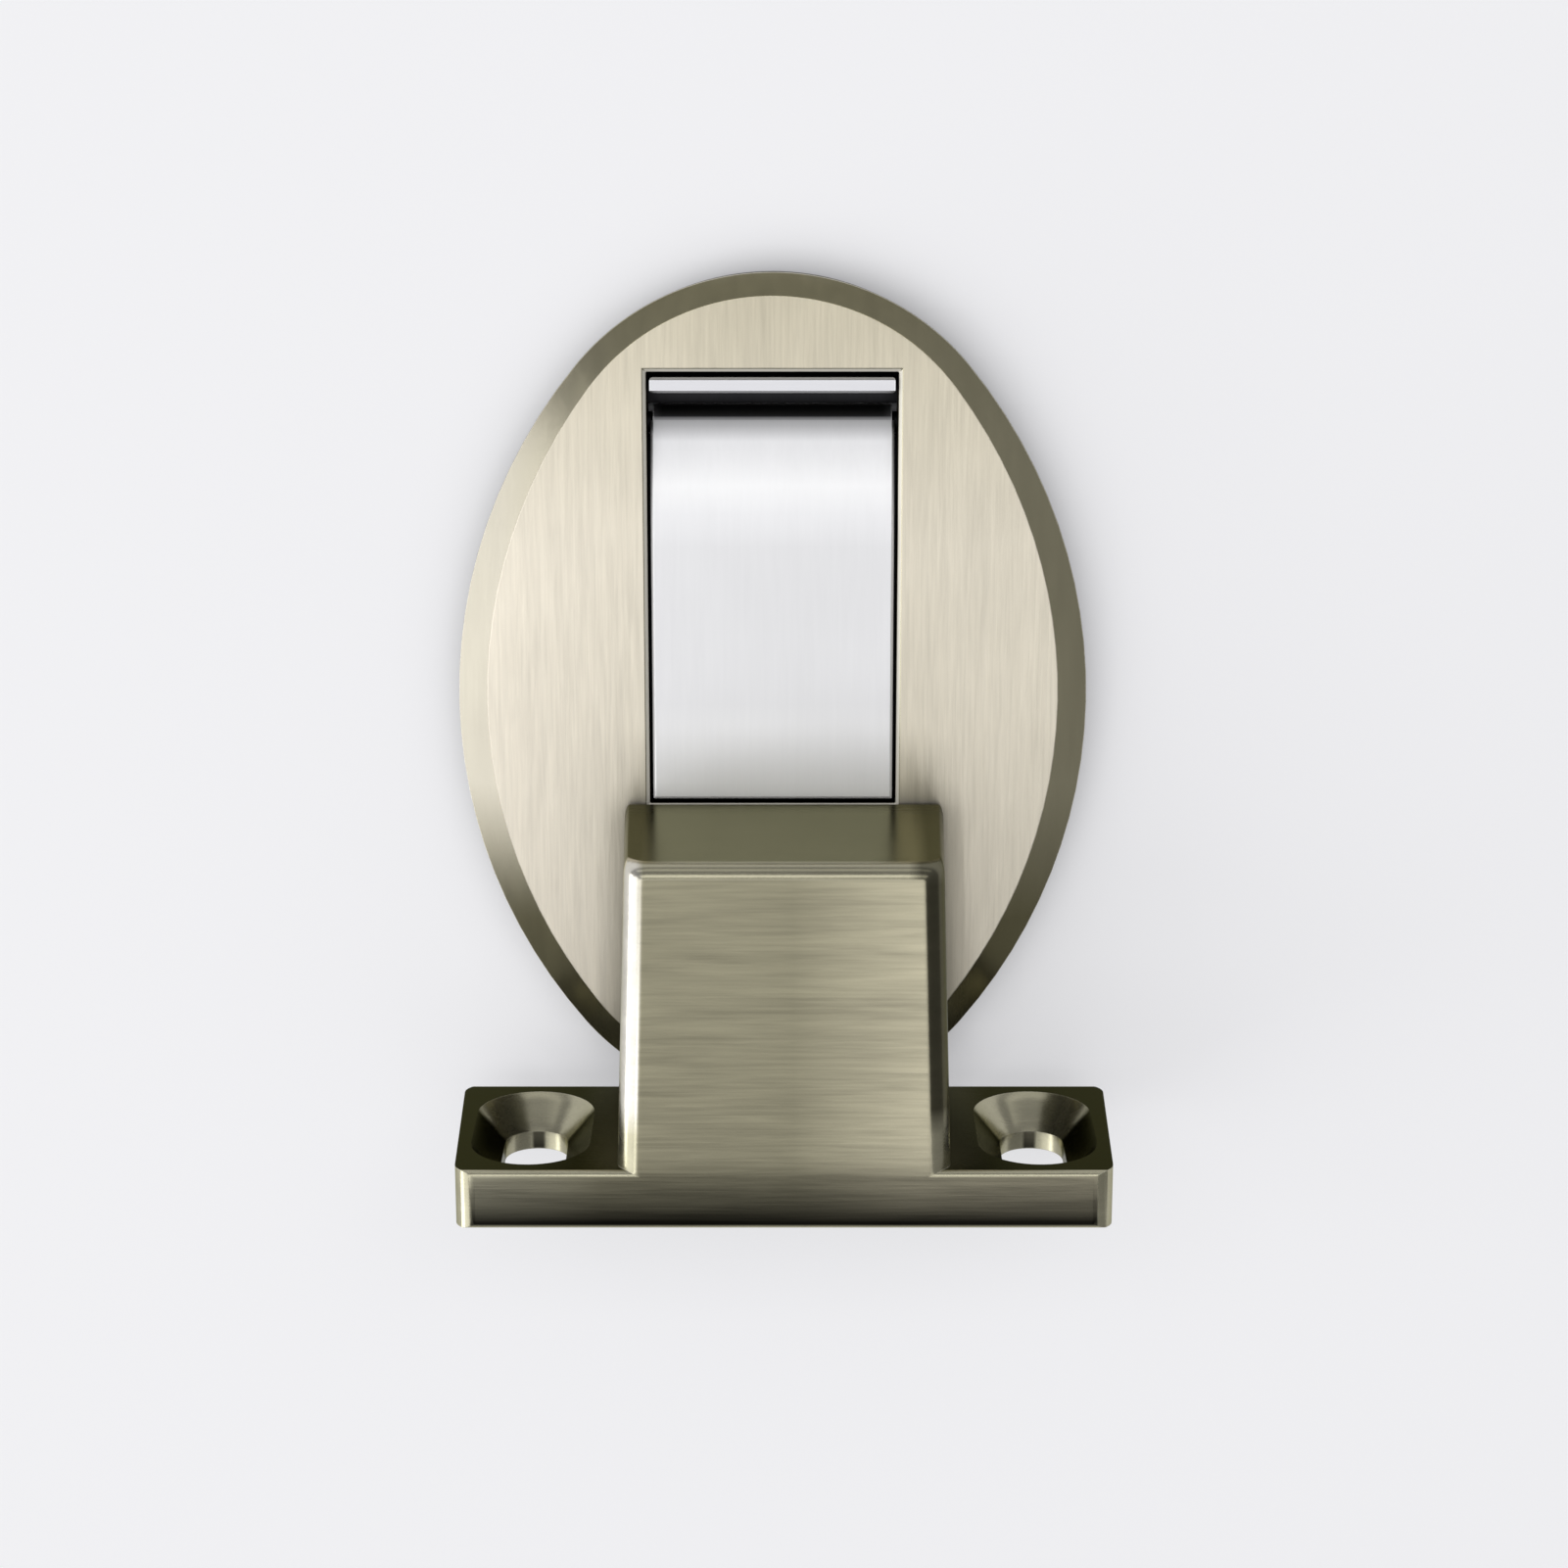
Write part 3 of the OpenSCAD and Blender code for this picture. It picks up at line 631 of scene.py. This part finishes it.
@dataclass(frozen=True)
class PlainFinish:
    """One even material, metal or not, with fine lines or grain, a change of roughness and painted shade
    in corners and gaps.

    Where rolled is set, the colour follows how far a face turns away from the door instead, which paints
    light and shade on a curled end, and where an edge colour is set, edges are worn bright with a painted
    highlight.
    """

    name: str
    colour: str
    # A darker copy of the colour, laid into corners as painted shade.
    shaded: str
    metallic: float
    roughness: float
    grain: Grain = Grain.NONE
    roughness_swing: float = 0.1
    hair_scale: float = 3000.0
    streak_scale: float = 600.0
    variation: float = 0.1
    bump: float = 0.15
    bump_height: float = 0.02 * MM
    gap_depth: float = 1.5 * MM
    # Painted shade laid into gaps too deep for light.
    gap_shade: str = "#080808"
    gap_shade_share: float = 0.96
    shaded_share: float = 0.25
    rubbed_and_highlight: str = ""
    rubbed_and_highlight_share: float = 0.7
    rubbed_and_highlight_width: float = 0.2 * MM
    toning: tuple[Toning, ...] = ()
    # A colour ramp by how far a face turns away from the door: painted light and shade on a curled end.
    rolled: tuple[tuple[float, str], ...] = ()

    def _colour(self, bench: Bench, groups: EffectGroups) -> object:
        """Picks the colour, which may follow how far a face turns away from the door as painted light and
        shade.

        Args:
            bench: The material's bench.
            groups: The shared effect groups.

        Returns:
            The colour, or its socket.
        """
        tone: object = hex_colour(self.colour)
        if self.rolled:
            ramp = bench.add("ValToRGB")
            stops = ramp.color_ramp.elements
            while len(stops) < len(self.rolled):
                stops.new(1.0)
            for stop, (place, code) in zip(stops, self.rolled):
                stop.position = place
                stop.color = hex_colour(code)
            bench.link(bench.add("Group", node_tree=groups.facing).outputs["Away"], ramp.inputs[0])
            tone = ramp.outputs[0]
        for toning in self.toning:
            tone = toning.over(bench, tone)
        return tone

    def build(self, groups: EffectGroups) -> bpy.types.Material:
        """Makes the material.

        Args:
            groups: The shared effect groups.

        Returns:
            The finished material.
        """
        material, bench, shader = start_shader(self.name)
        shader.inputs["Metallic"].default_value = self.metallic
        lines = groups.draw_lines(bench, self.grain, self.hair_scale, self.streak_scale)
        wear_light_and_shade = groups.place_wear_light_and_shade(bench, self.rubbed_and_highlight_width, self.gap_depth)

        half = self.variation / 2
        hairs = bench.about_middle(lines.outputs["Hairs"], self.variation)
        streaks = bench.over_mask(lines.outputs["Streaks"], 1.0 - half, 1.0 + half)
        shade = bench.grey(bench.maths("ADD", hairs, streaks))
        tone = bench.blend(1.0, self._colour(bench, groups), shade, "MULTIPLY")
        # Painted shade in corners and gaps, and worn edges that also paint a highlight.
        masks = [("Corner", self.shaded_share, self.shaded), ("Deep", self.gap_shade_share, self.gap_shade)]
        if self.rubbed_and_highlight:
            masks.insert(1, ("Edge", self.rubbed_and_highlight_share, self.rubbed_and_highlight))
        for mask, share, colour in masks:
            amount = bench.maths("MULTIPLY", wear_light_and_shade.outputs[mask], share)
            tone = bench.blend(amount, tone, hex_colour(colour))
        bench.link(tone, shader.inputs["Base Color"])

        half = self.roughness_swing / 2
        low, high = self.roughness - half, self.roughness + half
        bench.link(bench.over_mask(lines.outputs["Clouds"], low, high), shader.inputs["Roughness"])
        emboss(bench, shader, lines.outputs["Hairs"], self.bump, self.bump_height)
        return material


# The plate: brushed plating on the tops; the slant and side colours and the tonings are painted light and
# shade, the bright 45 degree lips a painted highlight, and the edges worn with a painted highlight.
PLATE = BrushedFinish(
    name="plate_bronze", top="#d5cebd", slant="#bab498", side="#55523f", rubbed_and_highlight="#f2eee2",
    grain=Grain.ALONG_Y, hair_scale=3400.0, hair_strength=0.13, streak_scale=700.0, streak_strength=0.19,
    gap_depth=3.0 * MM, lip_highlight_share=1.0, rubbed_and_highlight_metal=0.15,
    # Painted light on the left of the top, and painted shade towards its end away from the door.
    top_toning=(
        Toning(Axis.X, start=-4.0 * MM, end=-26.0 * MM, share=0.55, colour="#f0e8d8"),
        Toning(Axis.Y, start=16.0 * MM, end=40.0 * MM, share=0.45, colour="#a59d80"),
    ),
    # Painted light on the left of the bevel, and painted shade towards its end away from the door and its
    # door end.
    slant_toning=(
        Toning(Axis.X, start=-14.0 * MM, end=-26.0 * MM, share=0.8, colour="#b6b1a6"),
        Toning(Axis.Y, start=26.0 * MM, end=40.0 * MM, share=0.7, colour="#8a8465"),
        Toning(Axis.Y, start=-8.0 * MM, end=-22.0 * MM, share=0.85, colour="#736e50"),
    ),
)
# The block: brushed plating on the tops; the slant and side colours and the tonings are painted light and
# shade.
BLOCK = BrushedFinish(
    name="block_bronze", top="#8a8671", slant="#7d7966", side="#7b7864", rubbed_and_highlight="#c9c5b2",
    grazing="#cbcbbb", grain=Grain.ALONG_X, top_from=0.97, slant_from=0.05, slant_to=0.2,
    hair_scale=2800.0, hair_strength=0.20, streak_scale=620.0, streak_strength=0.34, gap_depth=4.0 * MM,
    # Painted light towards the right of the top and at the flange's left end, and painted shade across the
    # flange's top strip.
    top_toning=(
        Toning(Axis.X, start=2.0 * MM, end=14.0 * MM, share=0.85, colour="#b8b29a"),
        Toning(Axis.X, start=-16.0 * MM, end=-30.0 * MM, share=0.9, colour="#c4c0a8"),
        Toning(Axis.Y, start=-37.0 * MM, end=-44.0 * MM, share=0.98, colour="#0c0b09"),
    ),
    # Painted highlight on the nose's top edge and left rounded edge, painted shade on the right rounded
    # edge, and painted light on the slants at the flange.
    slant_toning=(
        Toning(Axis.Y, start=-12.0 * MM, end=-10.6 * MM, share=0.7, colour="#b8b49c"),
        Toning(Axis.X, start=-11.9 * MM, end=-12.6 * MM, share=0.95, colour="#dad6cb"),
        Toning(Axis.X, start=12.6 * MM, end=13.8 * MM, share=0.7, colour="#3c3a2c"),
        Toning(Axis.Y, start=-33.0 * MM, end=-35.5 * MM, share=1.0, colour="#b4b098"),
    ),
    # Painted reflection: darker strips at the left and right of the side faces, and painted shade on the
    # flange's front face and the sides beside it.
    side_toning=(
        Toning(Axis.X, start=-11.0 * MM, end=-12.4 * MM, share=0.7, colour="#2a281e"),
        Toning(Axis.X, start=13.2 * MM, end=14.6 * MM, share=0.7, colour="#2a281e"),
        Toning(Axis.Y, start=-28.0 * MM, end=-37.0 * MM, share=0.88, colour="#0c0b09"),
    ),
)
POLISHED = PlainFinish(
    name="polished_steel", colour="#c4c4c7", shaded="#77777b", metallic=1.0, roughness=0.24,
    grain=Grain.ALONG_X, roughness_swing=0.05, variation=0.02, bump=0.04, rubbed_and_highlight="#f6f6f8",
)
# The tongue: the colour ramp and the toning are painted light and shade, and the edge colour is a painted
# highlight.
ROLLED = PlainFinish(
    name="rolled_steel", colour="#e9e9ea", shaded="#8a8a8c", metallic=0.4, roughness=0.36,
    grain=Grain.ALONG_Y, roughness_swing=0.06, variation=0.02, bump=0.04, rubbed_and_highlight="#ffffff",
    # Painted reflection on the curled end: a light band, then darker, then black painted shade on the
    # knuckle.
    rolled=(
        (0.0, "#ededee"), (0.07, "#f4f4f5"), (0.13, "#ffffff"), (0.22, "#ececed"), (0.25, "#b0b0b1"),
        (0.275, "#7e7e7f"), (0.43, "#626263"), (0.47, "#0a0a0a"),
    ),
    # Painted light towards the door end, where the block's shade falls.
    toning=(Toning(Axis.Y, start=0.0, end=-8.0 * MM, share=0.9, colour="#ffffff"),),
)
STEEL = PlainFinish(
    name="steel", colour="#b4b5b8", shaded="#5c5c5f", metallic=1.0, roughness=0.38,
    grain=Grain.ALONG_Y, variation=0.08,
)
BLACKENED = PlainFinish(
    name="blackened_steel", colour="#2c2c2e", shaded="#161617", metallic=1.0, roughness=0.45,
    grain=Grain.ALONG_Y, variation=0.1,
)
MAGNET = PlainFinish(
    name="magnet_nickel", colour="#c6c7c9", shaded="#6b6b6e", metallic=1.0, roughness=0.26, variation=0.04,
)
PLASTIC = PlainFinish(
    name="moulded_plastic", colour="#33332f", shaded="#191917", metallic=0.0, roughness=0.5,
    hair_scale=2600.0, variation=0.12, bump=0.35,
)
RUBBER = PlainFinish(
    name="black_rubber", colour="#272729", shaded="#131314", metallic=0.0, roughness=0.75,
    hair_scale=2200.0, variation=0.16, bump=0.3,
)
FOAM = PlainFinish(
    name="foam_tape", colour="#3a3a3c", shaded="#1c1c1d", metallic=0.0, roughness=0.92,
    hair_scale=1500.0, variation=0.25, bump=0.8, bump_height=0.06 * MM,
)
FINISHES = (PLATE, BLOCK, POLISHED, ROLLED, STEEL, BLACKENED, MAGNET, PLASTIC, RUBBER, FOAM)


def deselect_all() -> None:
    """Leaves nothing selected, so that an operator meets only what is picked next."""
    if bpy.context.mode != "OBJECT":
        bpy.ops.object.mode_set(mode="OBJECT")
    bpy.ops.object.select_all(action="DESELECT")


def pick(piece: bpy.types.Object) -> None:
    """Makes a piece the only selected one and the active one.

    Args:
        piece: The piece to pick.
    """
    deselect_all()
    piece.select_set(True)
    bpy.context.view_layer.objects.active = piece


@dataclass(frozen=True)
class FinishedNode:
    """A visible CAD node whose copy is merged, gets its edges eased and is shown in its place.

    Angles are in degrees: faces that lie within level of each other become one, an edge sharper than
    sharp is eased, and one flatter than smooth is shaded round.
    """

    node: str
    slot: Slot
    ease: float
    merge: float = 0.0005 * MM
    level: float = 0.2
    sharp: float = 20.0
    smooth: float = 28.0
    flatness: int = 80

    def build(self, body: Body, material: bpy.types.Material) -> bpy.types.Object:
        """Makes the piece that stands for the node.

        Args:
            body: The body that it rides on.
            material: Its finish.

        Returns:
            The finished piece.
        """
        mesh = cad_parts[self.node].data.copy()
        piece = bpy.data.objects.new("finished_" + self.node, mesh)
        bpy.context.scene.collection.objects.link(piece)
        pick(piece)
        bpy.ops.mesh.customdata_custom_splitnormals_clear()
        bpy.ops.object.mode_set(mode="EDIT")
        bpy.ops.mesh.select_all(action="SELECT")
        bpy.ops.mesh.remove_doubles(threshold=self.merge)
        bpy.ops.mesh.dissolve_limited(angle_limit=math.radians(self.level))
        bpy.ops.object.mode_set(mode="OBJECT")
        eased = piece.modifiers.new("eased_edges", "BEVEL")
        eased.width = self.ease
        eased.segments = 2
        eased.limit_method = "ANGLE"
        eased.angle_limit = math.radians(self.sharp)
        bpy.ops.object.modifier_apply(modifier=eased.name)
        bpy.ops.object.shade_smooth_by_angle(angle=math.radians(self.smooth))
        flat = piece.modifiers.new("flat_faces", "WEIGHTED_NORMAL")
        flat.mode = "FACE_AREA"
        flat.weight = self.flatness
        flat.keep_sharp = True
        bpy.ops.object.modifier_apply(modifier=flat.name)
        mesh.materials.clear()
        mesh.materials.append(material)
        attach(piece, body.value)
        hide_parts(self.node)
        LOG.info("%s: %d faces on %s", piece.name, len(mesh.polygons), body.value)
        return piece


def dress(node: str, material: bpy.types.Material) -> None:
    """Gives a CAD node that stays as it is its finish.

    Args:
        node: The node's name.
        material: Its finish.
    """
    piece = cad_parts[node]
    piece.data.materials.clear()
    piece.data.materials.append(material)
    LOG.info("%s: dressed with %s", node, material.name)


@dataclass
class FloorUnit:
    """The oval plate on the floor, with what is fixed to it."""

    plate: FinishedNode = FinishedNode("floor_plate", Slot.PLATE, ease=0.10 * MM)
    bar: FinishedNode = FinishedNode("end_bar", Slot.POLISHED, ease=0.05 * MM)

    def build(self, finishes: dict[str, bpy.types.Material]) -> None:
        """Finishes the plate and the end bar, and dresses the rest.

        Args:
            finishes: Every finish by its name.
        """
        self.plate.build(Body.FLOOR, finishes[PLATE.name])
        self.bar.build(Body.FLOOR, finishes[POLISHED.name])
        dress("base_plate", finishes[BLACKENED.name])
        dress("base_screws", finishes[STEEL.name])
        dress("hinge_pin", finishes[BLACKENED.name])
        dress("adhesive_pad", finishes[FOAM.name])
        dress("rest_pads", finishes[RUBBER.name])


@dataclass
class TongueUnit:
    """The tongue that lifts to the magnet."""

    strip: FinishedNode = FinishedNode("tongue", Slot.POLISHED, ease=0.06 * MM)

    def build(self, finishes: dict[str, bpy.types.Material]) -> None:
        """Finishes the tongue."""
        self.strip.build(Body.TONGUE, finishes[ROLLED.name])


@dataclass
class DoorUnit:
    """The magnetic block on the door."""

    block: FinishedNode = FinishedNode("door_block", Slot.BLOCK, ease=0.12 * MM)

    def build(self, finishes: dict[str, bpy.types.Material]) -> None:
        """Finishes the block and dresses what is inside and under it.

        Args:
            finishes: Every finish by its name.
        """
        self.block.build(Body.DOOR, finishes[BLOCK.name])
        dress("block_cover", finishes[PLASTIC.name])
        dress("magnet_carrier", finishes[PLASTIC.name])
        dress("cover_screws", finishes[STEEL.name])
        dress("lower_pole", finishes[STEEL.name])
        dress("upper_pole", finishes[STEEL.name])
        dress("magnet", finishes[MAGNET.name])


@dataclass(frozen=True)
class Softbox:
    """A large soft lamp that faces a point."""

    name: str
    place: Place
    aim: Place
    width: float
    height: float
    brightness: float

    def build(self) -> bpy.types.Object:
        """Hangs the lamp.

        Returns:
            The lamp's object.
        """
        deselect_all()
        direction = Vector(self.aim) - Vector(self.place)
        bpy.ops.object.light_add(
            type="AREA", location=self.place, rotation=direction.to_track_quat("-Z", "Y").to_euler()
        )
        lamp = bpy.context.object
        lamp.name = self.name
        lamp.data.shape = "RECTANGLE"
        lamp.data.size = self.width
        lamp.data.size_y = self.height
        lamp.data.energy = self.brightness * math.pi * self.width * self.height
        lamp.visible_camera = False
        return lamp


@dataclass(frozen=True)
class Card:
    """A card beside the set that shows only in reflections."""

    name: str
    place: Place
    aim: Place
    width: float
    height: float
    tone: str

    def build(self) -> bpy.types.Object:
        """Stands the card up.

        Returns:
            The card's object.
        """
        deselect_all()
        bpy.ops.mesh.primitive_plane_add(size=1.0)
        card = bpy.context.object
        card.name = self.name
        direction = Vector(self.aim) - Vector(self.place)
        turn = direction.to_track_quat("Z", "Y").to_matrix().to_4x4()
        size = Matrix.Diagonal((self.width, self.height, 1.0, 1.0))
        card.data.transform(Matrix.Translation(self.place) @ turn @ size)
        material = bpy.data.materials.new(self.name)
        material.use_nodes = True
        bench = Bench(material.node_tree)
        glow = bench.add("Emission")
        glow.inputs["Color"].default_value = hex_colour(self.tone)
        bench.link(glow.outputs[0], bench.add("OutputMaterial").inputs[0])
        card.data.materials.append(material)
        card.visible_camera = False
        card.visible_diffuse = False
        card.visible_shadow = False
        card.visible_transmission = False
        return card


@dataclass
class Studio:
    """Camera, floor, world and lamps."""

    eye: Place = (0.0011, 0.0892, 0.345)
    lean: float = 16.0
    lens: float = 83.03
    sensor: float = 36.0
    nearest: float = 10.0 * MM
    floor_width: float = 8.0
    floor_drop: float = 0.05 * MM
    floor_tone: str = "#ededef"
    paper_tone: str = "#fdfdff"
    paper_share: float = 0.45
    paper_strength: float = 1.14
    # Painted shade: within this reach the floor's glow is taken off where the floor is closed in.
    paper_reach: float = 8.0 * MM
    paper_from: float = 0.15
    paper_to: float = 0.9
    paper_samples: int = 8
    sky: float = 0.32
    sky_tone: str = "#fbfbff"
    lamps: tuple[Softbox, ...] = (
        Softbox("top_softbox", (-0.15, -0.095, 0.9), BELOW_TOP, width=1.0, height=0.54, brightness=1.13),
        Softbox("far_softbox", (0.0, 0.4, 0.79), MIDDLE, width=1.0, height=0.24, brightness=1.8),
        Softbox("left_softbox", (-1.5, -0.22, 0.87), MIDDLE, width=1.5, height=1.2, brightness=1.45),
        Softbox("high_softbox", (-0.47, -0.16, 0.74), MIDDLE, width=0.4, height=0.2, brightness=1.15),
        Softbox("low_softbox", (-2.7, -0.6, 0.39), MIDDLE, width=3.0, height=0.6, brightness=3.5),
    )
    cards: tuple[Card, ...] = (
        Card("right_card", (0.9, 0.0, 0.5), MIDDLE, width=1.0, height=1.4, tone="#909090"),
        Card("far_card", (0.0, 1.0, 0.4), MIDDLE, width=1.8, height=0.26, tone="#f2f2f2"),
        Card("near_card", (0.0, -0.85, 0.5), MIDDLE, width=1.8, height=0.9, tone="#8e8e8c"),
    )

    def build_camera(self) -> bpy.types.Object:
        """Sets the camera at the object's far side, leaning back over it.

        Returns:
            The camera's object.
        """
        data = bpy.data.cameras.new("studio_camera")
        data.lens = self.lens
        data.sensor_width = self.sensor
        data.clip_start = self.nearest
        camera = bpy.data.objects.new("studio_camera", data)
        bpy.context.scene.collection.objects.link(camera)
        lean = math.radians(self.lean)
        turn = Matrix((
            (1.0, 0.0, 0.0),
            (0.0, math.cos(lean), math.sin(lean)),
            (0.0, -math.sin(lean), math.cos(lean)),
        ))
        camera.matrix_world = Matrix.Translation(self.eye) @ turn.to_4x4()
        bpy.context.scene.camera = camera
        return camera

    def build_floor(self) -> bpy.types.Object:
        """Lays the pale floor, whose glow is left off where it is closed in, as painted shade under and
        beside the object.

        Returns:
            The floor's object.
        """
        deselect_all()
        bpy.ops.mesh.primitive_plane_add(size=self.floor_width)
        floor = bpy.context.object
        floor.name = "studio_floor"
        floor.data.transform(Matrix.Translation((0.0, 0.0, -self.floor_drop)))
        material = bpy.data.materials.new("studio_floor")
        material.use_nodes = True
        bench = Bench(material.node_tree)
        matt = bench.add("BsdfDiffuse")
        matt.inputs["Color"].default_value = hex_colour(self.floor_tone)
        paper = bench.add("Emission")
        paper.inputs["Color"].default_value = hex_colour(self.paper_tone)
        paper.inputs["Strength"].default_value = self.paper_strength
        path = bench.add("LightPath")
        seen = bench.maths("MAXIMUM", path.outputs["Is Camera Ray"], path.outputs["Is Glossy Ray"])
        seen = bench.maths("MAXIMUM", seen, path.outputs["Is Transmission Ray"])
        # Painted shade: the glow fades out where ambient occlusion finds the floor closed in under and
        # beside the object.
        shelter = bench.add("AmbientOcclusion", samples=self.paper_samples)
        shelter.inputs["Distance"].default_value = self.paper_reach
        sheltered = shelter.outputs["AO"]
        open_floor = bench.spread(sheltered, self.paper_from, self.paper_to, 0.0, self.paper_share)
        mix = bench.add("MixShader")
        bench.link(bench.maths("MULTIPLY", seen, open_floor), mix.inputs[0])
        bench.link(matt.outputs[0], mix.inputs[1])
        bench.link(paper.outputs[0], mix.inputs[2])
        bench.link(mix.outputs[0], bench.add("OutputMaterial").inputs[0])
        floor.data.materials.append(material)
        return floor

    def build_world(self) -> None:
        """Makes the world an even soft grey."""
        world = bpy.data.worlds.new("studio_world")
        bpy.context.scene.world = world
        world.use_nodes = True
        bench = Bench(world.node_tree)
        light = bench.add("Background")
        light.inputs["Color"].default_value = hex_colour(self.sky_tone)
        light.inputs["Strength"].default_value = self.sky
        bench.link(light.outputs[0], bench.add("OutputWorld").inputs[0])

    def build(self) -> None:
        """Lays the floor and hangs the lamps and cards."""
        self.build_floor()
        self.build_world()
        for lamp in self.lamps:
            lamp.build()
        for card in self.cards:
            card.build()
        bpy.context.scene.view_settings.view_transform = "Standard"


def main() -> None:
    """Builds the studio and every sub-assembly."""
    logging.basicConfig(level=logging.INFO, format="%(name)s: %(message)s")
    studio = Studio()
    studio.build_camera()
    groups = EffectGroups()
    finishes = {finish.name: finish.build(groups) for finish in FINISHES}
    FloorUnit().build(finishes)
    TongueUnit().build(finishes)
    DoorUnit().build(finishes)
    studio.build()


if __name__ == "__main__":
    main()
